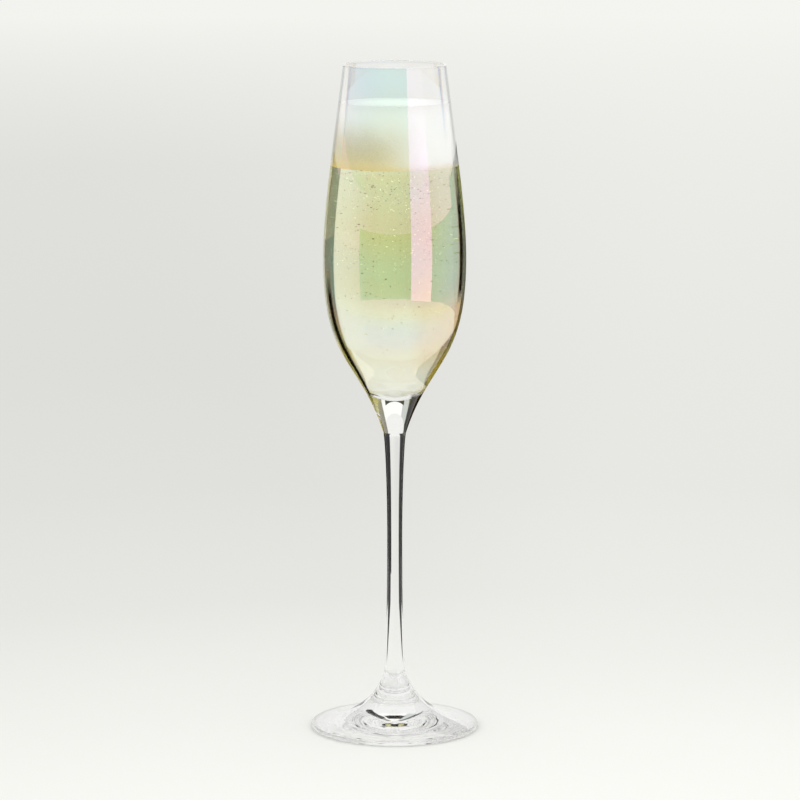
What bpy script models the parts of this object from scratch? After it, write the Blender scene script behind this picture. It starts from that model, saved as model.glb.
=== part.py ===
"""A poured champagne flute: a blown bowl, a drawn stem and a pressed foot, welded hot, with the wine and its foam.

Metres, +Z up. The origin is on the axis, on the surface that the foot stands on.
"""

import math

import bpy

# Foot
FOOT_RADIUS = 0.0334
FOOT_HEIGHT = 0.0218  # from the table to the weld with the stem
FOOT_EDGE = 0.0019  # thickness of the rounded edge
FOOT_RING = 0.0030  # width of the flat ring that the foot stands on
FOOT_DOME = 0.0034  # how far the underside rises at its centre
WELD_RADIUS = 0.0045  # of foot and stem where they are welded

# Stem
STEM_LENGTH = 0.0977
WAIST_RADIUS = 0.0030
WAIST_RISE = 0.0542  # from the foot's weld to the slimmest point
NECK_RADIUS = 0.0046  # of stem and bowl where they are welded

# Bowl
BOWL_HEIGHT = 0.1455  # from the stem's weld to the rim
RIM_RADIUS = 0.02015
BELLY_RADIUS = 0.02815
RIM_TO_BELLY = 0.0768
WALL = 0.0011
RIM_WALL = 0.0009
BOTTOM_GLASS = 0.0149  # solid glass between the stem's weld and the lowest point of the hollow

# Fill
RIM_TO_FOAM = 0.0150
FOAM_DEPTH = 0.0245

# Clearances
WELD_GAP = 0.0003  # between pieces welded end to end
FILL_GAP = 0.0003  # between the fill and the glass, and between the wine and the foam

# Shape of the curves: slopes are radius gained for each metre of height, pulls are shares of a curve's own span
RIM_SLOPE = 0.126
NECK_SLOPE = 0.32
WELD_SLOPE = 0.25
EDGE_SLOPE = 0.106
RIM_PULL = 0.47
BELLY_PULL_UP = 0.25
BELLY_PULL_DOWN = 0.60
NECK_PULL = 0.42
HOLLOW_PULL_DOWN = 0.73
HOLLOW_PULL_FLOOR = 0.28
STEM_TOP_PULL = 0.055
WAIST_PULL_UP = 0.47
WAIST_PULL_DOWN = 0.35
STEM_FOOT_PULL = 0.08
FLARE_PULL = 0.28
SKIRT_PULL = 0.71
DOME_PULL = 0.45

SIDES = 48
CURVE_STEPS = 12
SHORT_STEPS = 7
LIP_STEPS = 4

NECK_Z = FOOT_HEIGHT + STEM_LENGTH
RIM_Z = NECK_Z + BOWL_HEIGHT
BELLY_Z = RIM_Z - RIM_TO_BELLY
FLOOR_Z = NECK_Z + BOTTOM_GLASS
FOAM_TOP_Z = RIM_Z - RIM_TO_FOAM
WINE_TOP_Z = FOAM_TOP_Z - FOAM_DEPTH


def clear_scene():
    for old in list(bpy.data.objects):
        bpy.data.objects.remove(old, do_unlink=True)


def curve(start, pull, push, end, steps):
    """Points of one smooth curve in (radius, height), from start to end, leaving towards pull, arriving from push."""
    points = []
    for step in range(steps + 1):
        t = step / steps
        shares = ((1 - t) ** 3, 3 * t * (1 - t) ** 2, 3 * t**2 * (1 - t), t**3)
        handles = (start, pull, push, end)
        points.append(tuple(sum(s * h[axis] for s, h in zip(shares, handles)) for axis in (0, 1)))
    return points


def arc(centre, radius, start_degrees, end_degrees, steps):
    """Points of a round edge, both ends included."""
    points = []
    for step in range(steps + 1):
        angle = math.radians(start_degrees + (end_degrees - start_degrees) * step / steps)
        points.append((centre[0] + radius * math.cos(angle), centre[1] + radius * math.sin(angle)))
    return points


def joined(*stretches):
    """Stretches of outline end to end, without the point that two of them share."""
    points = list(stretches[0])
    for stretch in stretches[1:]:
        points += stretch[1:]
    return points


def inset(outline, gap):
    """The outline, which starts on the axis and runs up the hollow, moved inwards by gap."""
    moved = []
    last = len(outline) - 1
    for index, (radius, height) in enumerate(outline):
        before = outline[max(index - 1, 0)]
        after = outline[min(index + 1, last)]
        run, rise = after[0] - before[0], after[1] - before[1]
        if index == 0:
            run, rise = 1.0, 0.0
        length = math.hypot(run, rise)
        moved.append((radius - gap * rise / length, height + gap * run / length))
    return moved


def cut_at(outline, height):
    """A rising outline cut in two at a height. Both halves end exactly there."""
    for index, ((radius, z), (next_radius, next_z)) in enumerate(zip(outline, outline[1:])):
        if z < height <= next_z:
            share = (height - z) / (next_z - z)
            cut = (radius + share * (next_radius - radius), height)
            return outline[: index + 1] + [cut], [cut] + outline[index + 1 :]
    raise ValueError("the fill ends above the rim or below the floor of the bowl")


def finish(name, colour, roughness, transmission, refraction):
    """A plain material in the piece's own colour. None of the pieces is metal."""
    material = bpy.data.materials.new(name)
    material.use_nodes = True
    shader = material.node_tree.nodes["Principled BSDF"]
    shader.inputs["Base Color"].default_value = (*colour, 1.0)
    shader.inputs["Roughness"].default_value = roughness
    shader.inputs["Metallic"].default_value = 0.0
    shader.inputs["Transmission Weight"].default_value = transmission
    shader.inputs["IOR"].default_value = refraction
    material.diffuse_color = (*colour, 1.0)
    return material


def glass(name, colour):
    return finish(name, colour, roughness=0.02, transmission=1.0, refraction=1.52)


def turned(name, outline, material):
    """A solid turned round the Z axis. The outline runs down its outer side, from the axis back to the axis."""
    mesh = bpy.data.meshes.new(name)
    corners = [(radius, 0.0, height) for radius, height in outline]
    edges = [(index, index + 1) for index in range(len(corners) - 1)]
    mesh.from_pydata(corners, edges, [])
    mesh.materials.append(material)
    solid = bpy.data.objects.new(name, mesh)
    bpy.context.collection.objects.link(solid)
    screw = solid.modifiers.new("Turn", "SCREW")
    screw.axis = "Z"
    screw.angle = math.tau
    screw.steps = SIDES
    screw.render_steps = SIDES
    screw.use_merge_vertices = True
    screw.merge_threshold = 0.00001
    screw.use_smooth_shade = True
    return solid


def hollow():
    """The inside of the bowl, from its lowest point on the axis up to the start of the lip."""
    inner_belly = BELLY_RADIUS - WALL
    inner_rim = RIM_RADIUS - RIM_WALL
    lip_z = RIM_Z - RIM_WALL / 2
    depth = BELLY_Z - FLOOR_Z
    height = lip_z - BELLY_Z
    lower = curve(
        (0.0, FLOOR_Z),
        (HOLLOW_PULL_FLOOR * inner_belly, FLOOR_Z),
        (inner_belly, BELLY_Z - HOLLOW_PULL_DOWN * depth),
        (inner_belly, BELLY_Z),
        CURVE_STEPS,
    )
    upper = curve(
        (inner_belly, BELLY_Z),
        (inner_belly, BELLY_Z + BELLY_PULL_UP * height),
        (inner_rim + RIM_SLOPE * RIM_PULL * height, lip_z - RIM_PULL * height),
        (inner_rim, lip_z),
        CURVE_STEPS,
    )
    return joined(lower, upper)


def outer_bowl():
    """The outside of the bowl, from the lip down past the belly to the neck."""
    lip_z = RIM_Z - RIM_WALL / 2
    height = lip_z - BELLY_Z
    depth = BELLY_Z - NECK_Z
    neck_z = NECK_Z + WELD_GAP
    upper = curve(
        (RIM_RADIUS, lip_z),
        (RIM_RADIUS + RIM_SLOPE * RIM_PULL * height, lip_z - RIM_PULL * height),
        (BELLY_RADIUS, BELLY_Z + BELLY_PULL_UP * height),
        (BELLY_RADIUS, BELLY_Z),
        CURVE_STEPS,
    )
    lower = curve(
        (BELLY_RADIUS, BELLY_Z),
        (BELLY_RADIUS, BELLY_Z - BELLY_PULL_DOWN * depth),
        (NECK_RADIUS + NECK_SLOPE * NECK_PULL * depth, neck_z + NECK_PULL * depth),
        (NECK_RADIUS, neck_z),
        CURVE_STEPS,
    )
    return joined(upper, lower)


def make_bowl():
    lip_centre = (RIM_RADIUS - RIM_WALL / 2, RIM_Z - RIM_WALL / 2)
    lip = arc(lip_centre, RIM_WALL / 2, 180, 0, LIP_STEPS)
    outline = joined(hollow(), lip, outer_bowl()) + [(0.0, NECK_Z + WELD_GAP)]
    return turned("bowl", outline, glass("bowl_glass", (0.93, 0.95, 0.93)))


def make_stem():
    low_z = FOOT_HEIGHT + WELD_GAP
    waist_z = FOOT_HEIGHT + WAIST_RISE
    above = NECK_Z - waist_z
    below = waist_z - low_z
    end_above = STEM_TOP_PULL * above
    end_below = STEM_FOOT_PULL * below
    upper = curve(
        (NECK_RADIUS, NECK_Z),
        (NECK_RADIUS - NECK_SLOPE * end_above, NECK_Z - end_above),
        (WAIST_RADIUS, waist_z + WAIST_PULL_UP * above),
        (WAIST_RADIUS, waist_z),
        SHORT_STEPS,
    )
    lower = curve(
        (WAIST_RADIUS, waist_z),
        (WAIST_RADIUS, waist_z - WAIST_PULL_DOWN * below),
        (WELD_RADIUS - WELD_SLOPE * end_below, low_z + end_below),
        (WELD_RADIUS, low_z),
        SHORT_STEPS,
    )
    outline = [(0.0, NECK_Z)] + joined(upper, lower) + [(0.0, low_z)]
    return turned("stem", outline, glass("stem_glass", (0.95, 0.96, 0.96)))


def make_foot():
    edge_radius = FOOT_EDGE / 2
    edge_centre = (FOOT_RADIUS - edge_radius, edge_radius)
    drop = FOOT_HEIGHT - FOOT_EDGE
    spread = edge_centre[0] - WELD_RADIUS
    ring_inner = edge_centre[0] - FOOT_RING
    flare = FLARE_PULL * drop
    skirt = SKIRT_PULL * spread
    top = curve(
        (WELD_RADIUS, FOOT_HEIGHT),
        (WELD_RADIUS + WELD_SLOPE * flare, FOOT_HEIGHT - flare),
        (edge_centre[0] - skirt, FOOT_EDGE + EDGE_SLOPE * skirt),
        (edge_centre[0], FOOT_EDGE),
        CURVE_STEPS + SHORT_STEPS,
    )
    edge = arc(edge_centre, edge_radius, 90, -90, LIP_STEPS)
    dome = curve(
        (ring_inner, 0.0),
        (ring_inner * (1 - DOME_PULL), FOOT_DOME * DOME_PULL),
        (ring_inner * DOME_PULL, FOOT_DOME),
        (0.0, FOOT_DOME),
        SHORT_STEPS,
    )
    outline = [(0.0, FOOT_HEIGHT)] + joined(top, edge) + dome
    return turned("foot", outline, glass("foot_glass", (0.95, 0.96, 0.96)))


def make_wine():
    body, _ = cut_at(inset(hollow(), FILL_GAP), WINE_TOP_Z)
    outline = [(0.0, WINE_TOP_Z)] + body[::-1]
    wine = finish("champagne", (0.86, 0.85, 0.55), roughness=0.05, transmission=0.9, refraction=1.34)
    return turned("champagne", outline, wine)


def make_foam():
    low_z = WINE_TOP_Z + FILL_GAP
    below_top, _ = cut_at(inset(hollow(), FILL_GAP), FOAM_TOP_Z)
    _, body = cut_at(below_top, low_z)
    outline = [(0.0, FOAM_TOP_Z)] + body[::-1] + [(0.0, low_z)]
    froth = finish("foam", (0.93, 0.93, 0.88), roughness=0.7, transmission=0.0, refraction=1.34)
    return turned("foam", outline, froth)


clear_scene()
make_foot()
make_stem()
make_bowl()
make_wine()
make_foam()
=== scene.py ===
"""A champagne flute, poured: pressed foot, drawn stem, blown lustred bowl, wine, bubbles and foam."""

import math

import bpy
import numpy as np
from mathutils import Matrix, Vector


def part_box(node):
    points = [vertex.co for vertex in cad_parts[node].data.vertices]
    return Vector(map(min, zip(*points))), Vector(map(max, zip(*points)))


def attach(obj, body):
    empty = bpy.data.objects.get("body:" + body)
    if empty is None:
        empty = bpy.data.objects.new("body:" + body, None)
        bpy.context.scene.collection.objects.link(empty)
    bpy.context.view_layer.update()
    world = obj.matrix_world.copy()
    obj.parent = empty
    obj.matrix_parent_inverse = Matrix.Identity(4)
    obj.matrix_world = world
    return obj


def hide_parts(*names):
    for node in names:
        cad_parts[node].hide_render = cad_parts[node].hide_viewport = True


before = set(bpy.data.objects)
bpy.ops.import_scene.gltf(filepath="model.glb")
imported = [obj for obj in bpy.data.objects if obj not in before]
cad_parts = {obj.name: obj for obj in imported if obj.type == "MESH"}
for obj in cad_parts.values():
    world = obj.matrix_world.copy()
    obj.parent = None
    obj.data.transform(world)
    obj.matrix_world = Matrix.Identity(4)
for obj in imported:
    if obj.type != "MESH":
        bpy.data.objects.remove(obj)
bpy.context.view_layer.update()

# ---------------------------------------------------------------------------
# Camera. It stands well back, a little above the rim, and looks down on the
# glass through a long lens, so that the rim and the foot both open slightly.
CAMERA_DISTANCE = 1.428
CAMERA_HEIGHT = 0.3687
CAMERA_SIDESTEP = 0.0021
CAMERA_TILT = 9.40
LENS = 164.8

camera = bpy.data.objects.new("camera", bpy.data.cameras.new("camera"))
camera.data.lens = LENS
camera.data.sensor_width = 36.0
camera.location = (CAMERA_SIDESTEP, -CAMERA_DISTANCE, CAMERA_HEIGHT)
camera.rotation_euler = (math.radians(90 - CAMERA_TILT), 0, 0)
bpy.context.scene.collection.objects.link(camera)
bpy.context.scene.camera = camera

# ---------------------------------------------------------------------------
# Foot. A gather of clear crystal pressed and spun out flat while hot, with a
# fire-polished edge. Its underside is domed, so the glass stands on a ring just
# inside the edge, and its upper side keeps faint rings from the spinning.
SIDES = 160
SHARP_ANGLE = 35
EDGE = 0.0019
RING_WIDTH = 0.0030
DOME = 0.0034
FOOT_WELD_RADIUS = 0.0045
CRYSTAL_IOR = 1.52
CLEAR = (1.00, 1.00, 1.00)
FOOT_RINGS = 420.0
FOOT_LINES = 20.0
FOOT_ALONG = 40.0
FOOT_RELIEF = 0.00004


def curve(start, pull, push, end, steps):
    """Points in (radius, height) along one smooth curve, its two handles in the middle."""
    t = np.linspace(0, 1, steps + 1)[:, None]
    shares = ((1 - t) ** 3, 3 * t * (1 - t) ** 2, 3 * t**2 * (1 - t), t**3)
    return sum(share * np.array(point) for share, point in zip(shares, (start, pull, push, end)))


def arc(centre, radius, start, end, steps):
    """Points round an edge, between two angles in degrees."""
    angles = np.radians(np.linspace(start, end, steps + 1))
    return np.column_stack((centre[0] + radius * np.cos(angles), centre[1] + radius * np.sin(angles)))


def joined(*stretches):
    """Stretches of outline end to end, without the points that they share."""
    return np.vstack([stretches[0]] + [stretch[1:] for stretch in stretches[1:]])


def turned(name, outline, *materials, slots=None):
    """A closed body turned round the axis. Its outline starts and ends on the axis."""
    ring_count = len(outline) - 2
    angles = np.arange(SIDES) * math.tau / SIDES
    rings = [
        np.column_stack((radius * np.cos(angles), radius * np.sin(angles), np.full(SIDES, height)))
        for radius, height in outline[1:-1]
    ]
    points = np.vstack(rings + [[0, 0, outline[0][1]], [0, 0, outline[-1][1]]])
    first, last = ring_count * SIDES, ring_count * SIDES + 1
    faces, face_slots = [], []
    for side in range(SIDES):
        beside = (side + 1) % SIDES
        faces.append((first, side, beside))
        face_slots.append(0 if slots is None else slots[0])
        for ring in range(ring_count - 1):
            here, below = ring * SIDES, (ring + 1) * SIDES
            faces.append((here + side, below + side, below + beside, here + beside))
            face_slots.append(0 if slots is None else slots[ring + 1])
        bottom = (ring_count - 1) * SIDES
        faces.append((last, bottom + beside, bottom + side))
        face_slots.append(0 if slots is None else slots[-1])
    mesh = bpy.data.meshes.new(name)
    mesh.from_pydata(points.tolist(), [], faces)
    for material in materials:
        mesh.materials.append(material)
    mesh.polygons.foreach_set("material_index", face_slots)
    mesh.shade_smooth()
    mesh.set_sharp_from_angle(angle=math.radians(SHARP_ANGLE))
    mesh.update()
    body = bpy.data.objects.new(name, mesh)
    bpy.context.scene.collection.objects.link(body)
    return body


def crystal(name, colour, **sockets):
    """Clear glass: one Principled shader, its plain values set on its own sockets."""
    material = bpy.data.materials.new(name)
    material.use_nodes = True
    shader = material.node_tree.nodes["Principled BSDF"]
    shader.inputs["Base Color"].default_value = (*colour, 1)
    shader.inputs["Roughness"].default_value = 0.0
    shader.inputs["IOR"].default_value = CRYSTAL_IOR
    shader.inputs["Transmission Weight"].default_value = 1.0
    for socket, value in sockets.items():
        shader.inputs[socket].default_value = value
    return material


def glass_waves_group():
    """The faint waves of hand-worked glass: rings from spinning and lines from drawing."""
    group = bpy.data.node_groups.new("glass_waves", "ShaderNodeTree")
    face = group.interface
    face.new_socket("Place", in_out="INPUT", socket_type="NodeSocketVector")
    for name in ("Rings", "Lines", "Along"):
        face.new_socket(name, in_out="INPUT", socket_type="NodeSocketFloat")
    face.new_socket("Height", in_out="OUTPUT", socket_type="NodeSocketFloat")
    face.new_socket("Tone", in_out="OUTPUT", socket_type="NodeSocketColor")
    given = group.nodes.new("NodeGroupInput")
    result = group.nodes.new("NodeGroupOutput")
    flat = group.nodes.new("ShaderNodeVectorMath")
    flat.operation = "MULTIPLY"
    flat.inputs[1].default_value = (1, 1, 0)
    group.links.new(given.outputs["Place"], flat.inputs[0])
    radius = group.nodes.new("ShaderNodeVectorMath")
    radius.operation = "LENGTH"
    group.links.new(flat.outputs["Vector"], radius.inputs[0])
    rings = group.nodes.new("ShaderNodeMath")
    rings.operation = "MULTIPLY"
    group.links.new(radius.outputs["Value"], rings.inputs[0])
    group.links.new(given.outputs["Rings"], rings.inputs[1])
    lines = group.nodes.new("ShaderNodeVectorMath")
    lines.operation = "SCALE"
    group.links.new(flat.outputs["Vector"], lines.inputs[0])
    group.links.new(given.outputs["Lines"], lines.inputs["Scale"])
    split = group.nodes.new("ShaderNodeSeparateXYZ")
    group.links.new(given.outputs["Place"], split.inputs["Vector"])
    along = group.nodes.new("ShaderNodeMath")
    along.operation = "MULTIPLY_ADD"
    group.links.new(split.outputs["Z"], along.inputs[0])
    group.links.new(given.outputs["Along"], along.inputs[1])
    group.links.new(rings.outputs["Value"], along.inputs[2])
    upright = group.nodes.new("ShaderNodeCombineXYZ")
    group.links.new(along.outputs["Value"], upright.inputs["Z"])
    both = group.nodes.new("ShaderNodeVectorMath")
    group.links.new(lines.outputs["Vector"], both.inputs[0])
    group.links.new(upright.outputs["Vector"], both.inputs[1])
    waves = group.nodes.new("ShaderNodeTexNoise")
    waves.inputs["Scale"].default_value = 1.0
    waves.inputs["Detail"].default_value = 1.0
    group.links.new(both.outputs["Vector"], waves.inputs["Vector"])
    group.links.new(waves.outputs["Fac"], result.inputs["Height"])
    tone = group.nodes.new("ShaderNodeMapRange")
    tone.inputs["From Min"].default_value = 0.3
    tone.inputs["From Max"].default_value = 0.7
    tone.inputs["To Min"].default_value = 0.99
    group.links.new(waves.outputs["Fac"], tone.inputs["Value"])
    group.links.new(tone.outputs["Result"], result.inputs["Tone"])
    return group


glass_waves = glass_waves_group()


def worked(material, rings, lines, along, depth):
    """Give a glass its waves, as relief and as a faint change of tone."""
    tree = material.node_tree
    shader = tree.nodes["Principled BSDF"]
    place = tree.nodes.new("ShaderNodeTexCoord")
    waves = tree.nodes.new("ShaderNodeGroup")
    waves.node_tree = glass_waves
    waves.inputs["Rings"].default_value = rings
    waves.inputs["Lines"].default_value = lines
    waves.inputs["Along"].default_value = along
    tree.links.new(place.outputs["Object"], waves.inputs["Place"])
    relief = tree.nodes.new("ShaderNodeBump")
    relief.inputs["Strength"].default_value = 1.0
    relief.inputs["Distance"].default_value = depth
    tree.links.new(waves.outputs["Height"], relief.inputs["Height"])
    tree.links.new(relief.outputs["Normal"], shader.inputs["Normal"])
    if not shader.inputs["Base Color"].is_linked:
        tree.links.new(waves.outputs["Tone"], shader.inputs["Base Color"])
    return material


def weld_material():
    """The hot weld between two pieces: the glass runs through it, so nothing shows there."""
    material = bpy.data.materials.new("weld")
    material.use_nodes = True
    tree = material.node_tree
    tree.nodes.remove(tree.nodes["Principled BSDF"])
    through = tree.nodes.new("ShaderNodeBsdfTransparent")
    tree.links.new(through.outputs["BSDF"], tree.nodes["Material Output"].inputs["Surface"])
    return material


weld = weld_material()
foot_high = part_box("foot")[1]
foot_radius = foot_high.x
foot_top = foot_high.z
edge_centre = (foot_radius - EDGE / 2, EDGE / 2)
drop = foot_top - EDGE
spread = edge_centre[0] - FOOT_WELD_RADIUS
skirt = 0.71 * spread
foot_upper = curve(
    (FOOT_WELD_RADIUS, foot_top),
    (FOOT_WELD_RADIUS + 0.25 * 0.28 * drop, foot_top - 0.28 * drop),
    (edge_centre[0] - skirt, EDGE + 0.106 * skirt),
    (edge_centre[0], EDGE),
    110,
)
ring_inner = edge_centre[0] - RING_WIDTH
foot_dome = curve(
    (ring_inner, 0),
    (ring_inner * 0.55, DOME * 0.45),
    (ring_inner * 0.45, DOME),
    (0, DOME),
    90,
)
foot_outline = joined(
    np.array([(0, foot_top), (FOOT_WELD_RADIUS, foot_top)]),
    foot_upper,
    arc(edge_centre, EDGE / 2, 90, -90, 16),
    np.array([(edge_centre[0], 0), (ring_inner, 0)]),
    foot_dome,
)
foot_glass = worked(crystal("foot_crystal", CLEAR), FOOT_RINGS, FOOT_LINES, FOOT_ALONG, FOOT_RELIEF)
foot_slots = [1] + [0] * (len(foot_outline) - 2)
foot = turned("foot_glass", foot_outline, foot_glass, weld, slots=foot_slots)
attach(foot, "root")
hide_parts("foot")

# ---------------------------------------------------------------------------
# Stem. A solid rod drawn from the bottom of the bowl while soft, slimmest a
# little above its middle, and welded to the foot. The dark line down each side,
# which thins out towards the foot, comes partly from dark cards seen through
# the thick round glass and is partly painted shade in its colour.
WAIST_RADIUS = 0.0030
WAIST_RISE = 0.0542
NECK_RADIUS = 0.0046
STEM_LINES = 260.0
STEM_ALONG = 12.0
STEM_RELIEF = 0.00002
# Painted shade: the near-black tint of the dark line painted down each side of the stem.
PAINTED_LINE_SHADE = (0.0006, 0.0006, 0.0006)
LINE_INNER = (0.14, 0.18)
LINE_OUTER = (0.52, 0.42)
LINE_LOW_END = (0.03, 0.08)
TAPER_SPAN = (0.04, 0.30)
TAPER_AMOUNT = 0.24

stem_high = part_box("stem")[1]
neck_z = stem_high.z
waist_z = foot_top + WAIST_RISE
above, below = neck_z - waist_z, waist_z - foot_top
stem_outline = joined(
    np.array([(0, neck_z), (NECK_RADIUS, neck_z)]),
    curve(
        (NECK_RADIUS, neck_z),
        (NECK_RADIUS - 0.32 * 0.055 * above, neck_z - 0.055 * above),
        (WAIST_RADIUS, waist_z + 0.47 * above),
        (WAIST_RADIUS, waist_z),
        80,
    ),
    curve(
        (WAIST_RADIUS, waist_z),
        (WAIST_RADIUS, waist_z - 0.35 * below),
        (FOOT_WELD_RADIUS - 0.25 * 0.08 * below, foot_top + 0.08 * below),
        (FOOT_WELD_RADIUS, foot_top),
        80,
    ),
    np.array([(FOOT_WELD_RADIUS, foot_top), (0, foot_top)]),
)


def ramp_of(tree, stops):
    """A colour ramp through the given stops of position and colour."""
    ramp = tree.nodes.new("ShaderNodeValToRGB")
    while len(ramp.color_ramp.elements) < len(stops):
        ramp.color_ramp.elements.new(0.5)
    for element, (position, colour) in zip(ramp.color_ramp.elements, stops):
        element.position = position
        element.color = (*colour, 1)
    return ramp


def height_share(tree, place, low, high):
    """How far up a piece a point lies: 0 at low, 1 at high."""
    split = tree.nodes.new("ShaderNodeSeparateXYZ")
    tree.links.new(place.outputs["Object"], split.inputs["Vector"])
    share = tree.nodes.new("ShaderNodeMapRange")
    share.inputs["From Min"].default_value = low
    share.inputs["From Max"].default_value = high
    tree.links.new(split.outputs["Z"], share.inputs["Value"])
    return share


def smooth_share(tree, value, start, end):
    """A soft step from 0 at start to 1 at end."""
    step = tree.nodes.new("ShaderNodeMapRange")
    step.interpolation_type = "SMOOTHSTEP"
    step.inputs["From Min"].default_value = start
    step.inputs["From Max"].default_value = end
    tree.links.new(value, step.inputs["Value"])
    return step.outputs["Result"]


def product(tree, mask, *others):
    """Masks multiplied together."""
    for other in others:
        both = tree.nodes.new("ShaderNodeMath")
        both.operation = "MULTIPLY"
        tree.links.new(mask, both.inputs[0])
        tree.links.new(other, both.inputs[1])
        mask = both.outputs["Value"]
    return mask


def either(tree, one, other):
    """The larger of two masks."""
    node = tree.nodes.new("ShaderNodeMath")
    node.operation = "MAXIMUM"
    tree.links.new(one, node.inputs[0])
    tree.links.new(other, node.inputs[1])
    return node.outputs["Value"]


def tinted(tree, colour, mask, tint):
    """A colour multiplied by a tint where the mask is 1."""
    mix = tree.nodes.new("ShaderNodeMix")
    mix.data_type = "RGBA"
    mix.blend_type = "MULTIPLY"
    tree.links.new(mask, mix.inputs["Factor"])
    tree.links.new(colour, mix.inputs["A"])
    mix.inputs["B"].default_value = (*tint, 1)
    return mix.outputs["Result"]


def stem_material():
    """Drawn crystal, with a dark line down each side: painted shade over the dark cards seen through it.
    """
    material = worked(crystal("stem_crystal", CLEAR), 0.0, STEM_LINES, STEM_ALONG, STEM_RELIEF)
    tree = material.node_tree
    shader = tree.nodes["Principled BSDF"]
    tone = tree.nodes["Group"].outputs["Tone"]
    place = tree.nodes["Texture Coordinate"]
    slant = tree.nodes.new("ShaderNodeLayerWeight")
    slant.inputs["Blend"].default_value = 0.5
    height = height_share(tree, place, foot_top, neck_z)
    low_end = smooth_share(tree, height.outputs["Result"], *LINE_LOW_END)
    taper = tree.nodes.new("ShaderNodeMapRange")
    taper.inputs["From Min"].default_value = TAPER_SPAN[0]
    taper.inputs["From Max"].default_value = TAPER_SPAN[1]
    taper.inputs["To Min"].default_value = TAPER_AMOUNT
    taper.inputs["To Max"].default_value = 0.0
    tree.links.new(height.outputs["Result"], taper.inputs["Value"])
    narrowed = tree.nodes.new("ShaderNodeMath")
    narrowed.operation = "SUBTRACT"
    tree.links.new(slant.outputs["Facing"], narrowed.inputs[0])
    tree.links.new(taper.outputs["Result"], narrowed.inputs[1])
    inner = smooth_share(tree, narrowed.outputs["Value"], *LINE_INNER)
    outer = smooth_share(tree, slant.outputs["Facing"], *LINE_OUTER)
    # Painted shade: darken the colour in a band seen edge on, down each side.
    line = product(tree, inner, outer, low_end)
    tree.links.new(tinted(tree, tone, line, PAINTED_LINE_SHADE), shader.inputs["Base Color"])
    return material


stem_glass = stem_material()
stem_slots = [1] + [0] * (len(stem_outline) - 3) + [1]
stem = turned("stem_glass", stem_outline, stem_glass, weld, slots=stem_slots)
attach(stem, "root")
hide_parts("stem")

# ---------------------------------------------------------------------------
# Bowl. Thin clear crystal blown into a tulip, solid at the bottom where the
# stem was drawn from it, with a fire-polished rim and a metal-oxide lustre
# fired on its outside.
WALL = 0.0011
RIM_WALL = 0.0009
RIM_RADIUS = 0.02015
RIM_TO_BELLY = 0.0768
BOTTOM_GLASS = 0.0149
LIP_STEPS = 14
FILM_IOR = 2.0
FILM_THIN = 238.0
FILM_SPREAD = 42.0
FILM_STEPS = (
    (0.00, 0.10),
    (0.35, 0.25),
    (0.50, 0.45),
    (0.72, 0.72),
    (0.80, 0.60),
    (0.92, 0.15),
    (1.00, 0.15),
)
FILM_DRIFT = 14.0
FILM_PATCHES = 26.0
FILM_FADE = 0.040
LUSTRE_TINTS = (
    (0.14, (1.00, 1.00, 1.00)),
    (0.19, (0.96, 0.94, 1.00)),
    (0.25, (0.90, 0.87, 0.98)),
    (0.31, (0.84, 0.86, 0.94)),
    (0.36, (0.86, 0.87, 0.84)),
    (0.40, (0.87, 0.81, 0.66)),
    (0.45, (0.80, 0.83, 0.74)),
    (0.51, (0.88, 0.83, 0.68)),
    (0.56, (0.88, 0.80, 0.55)),
    (0.61, (0.88, 0.85, 0.63)),
    (0.67, (0.85, 0.86, 0.68)),
    (0.715, (0.96, 0.90, 0.70)),
    (0.73, (1.00, 1.00, 1.00)),
    (0.88, (1.00, 1.00, 1.00)),
    (0.93, (0.98, 0.97, 0.97)),
    (1.00, (0.98, 0.97, 0.97)),
)
PALE_SIDE = (0.99, 1.00, 1.00)
GREEN_SIDE = (0.89, 0.97, 0.86)
# Painted reflection: a rose tint on the right, where the film's pink reflection shows.
PAINTED_ROSE_REFLECTION = (0.94, 0.87, 0.97)
# Painted shade: a grey tint along the edges of the glass above the wine.
PAINTED_GREY_EDGE = (0.28, 0.30, 0.31)
# Painted shade: a near-black tint for the edges beside the wine and for a wedge low on the right, over
# dark cards seen through the glass.
PAINTED_EDGE_SHADE = (0.0012, 0.0007, 0.0004)
BLUSH = (0.98, 0.78, 0.66)
WARM_EDGE = (1.00, 0.88, 0.74)
RIM_TONE = (0.92, 0.94, 0.95)
RIM_CLEARNESS = 0.6
BOWL_LINES = 120.0
RIM_LINES = 90.0
BOWL_ALONG = 60.0
BOWL_RELIEF = 0.00003

# Each of these is a soft step from nothing to full. A slant runs from 0 face on
# to 1 edge on, a rise from 0 at the neck to 1 at the rim, and across is in
# metres from the middle, positive to the right.
PALE_SLANT = (0.05, 0.26)
WARM_SLANT = (0.45, 0.65)
WINE_RISE = (0.74, 0.70)
BLUSH_ACROSS = (0.004, 0.013)
BLUSH_LOW_END = (0.14, 0.22)
BLUSH_HIGH_END = (0.42, 0.35)
GREEN_ACROSS = (-0.010, -0.014)
GREEN_RISE = (0.52, 0.60)
ROSE_ACROSS = (0.010, 0.015)
ROSE_RISE = (0.35, 0.42)
EDGE_INNER_SLANT = (0.55, 0.60)
EDGE_OUTER_SLANT = (0.73, 0.68)
RIGHT_ACROSS = (0.0, 0.004)
RIGHT_LOW_END = (0.34, 0.40)
RIGHT_HIGH_END = (0.84, 0.62)
LEFT_ACROSS = (0.0, -0.004)
LEFT_LOW_END = (0.06, 0.12)
LEFT_HIGH_END = (0.48, 0.38)
WEDGE_ACROSS = (0.002, 0.004)
WEDGE_RISE = (0.125, 0.104)
WEDGE_SLANT = (0.33, 0.40)
CLEAR_RISE = (0.71, 0.76)
CLEAR_SLANT = (0.62, 0.76)
UNFILMED_SLANT = (0.45, 0.60)

bowl_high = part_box("bowl")[1]
rim_z = bowl_high.z
belly_radius = bowl_high.x
belly_z = rim_z - RIM_TO_BELLY
floor_z = neck_z + BOTTOM_GLASS
lip_z = rim_z - RIM_WALL / 2
lift = lip_z - belly_z


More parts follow.
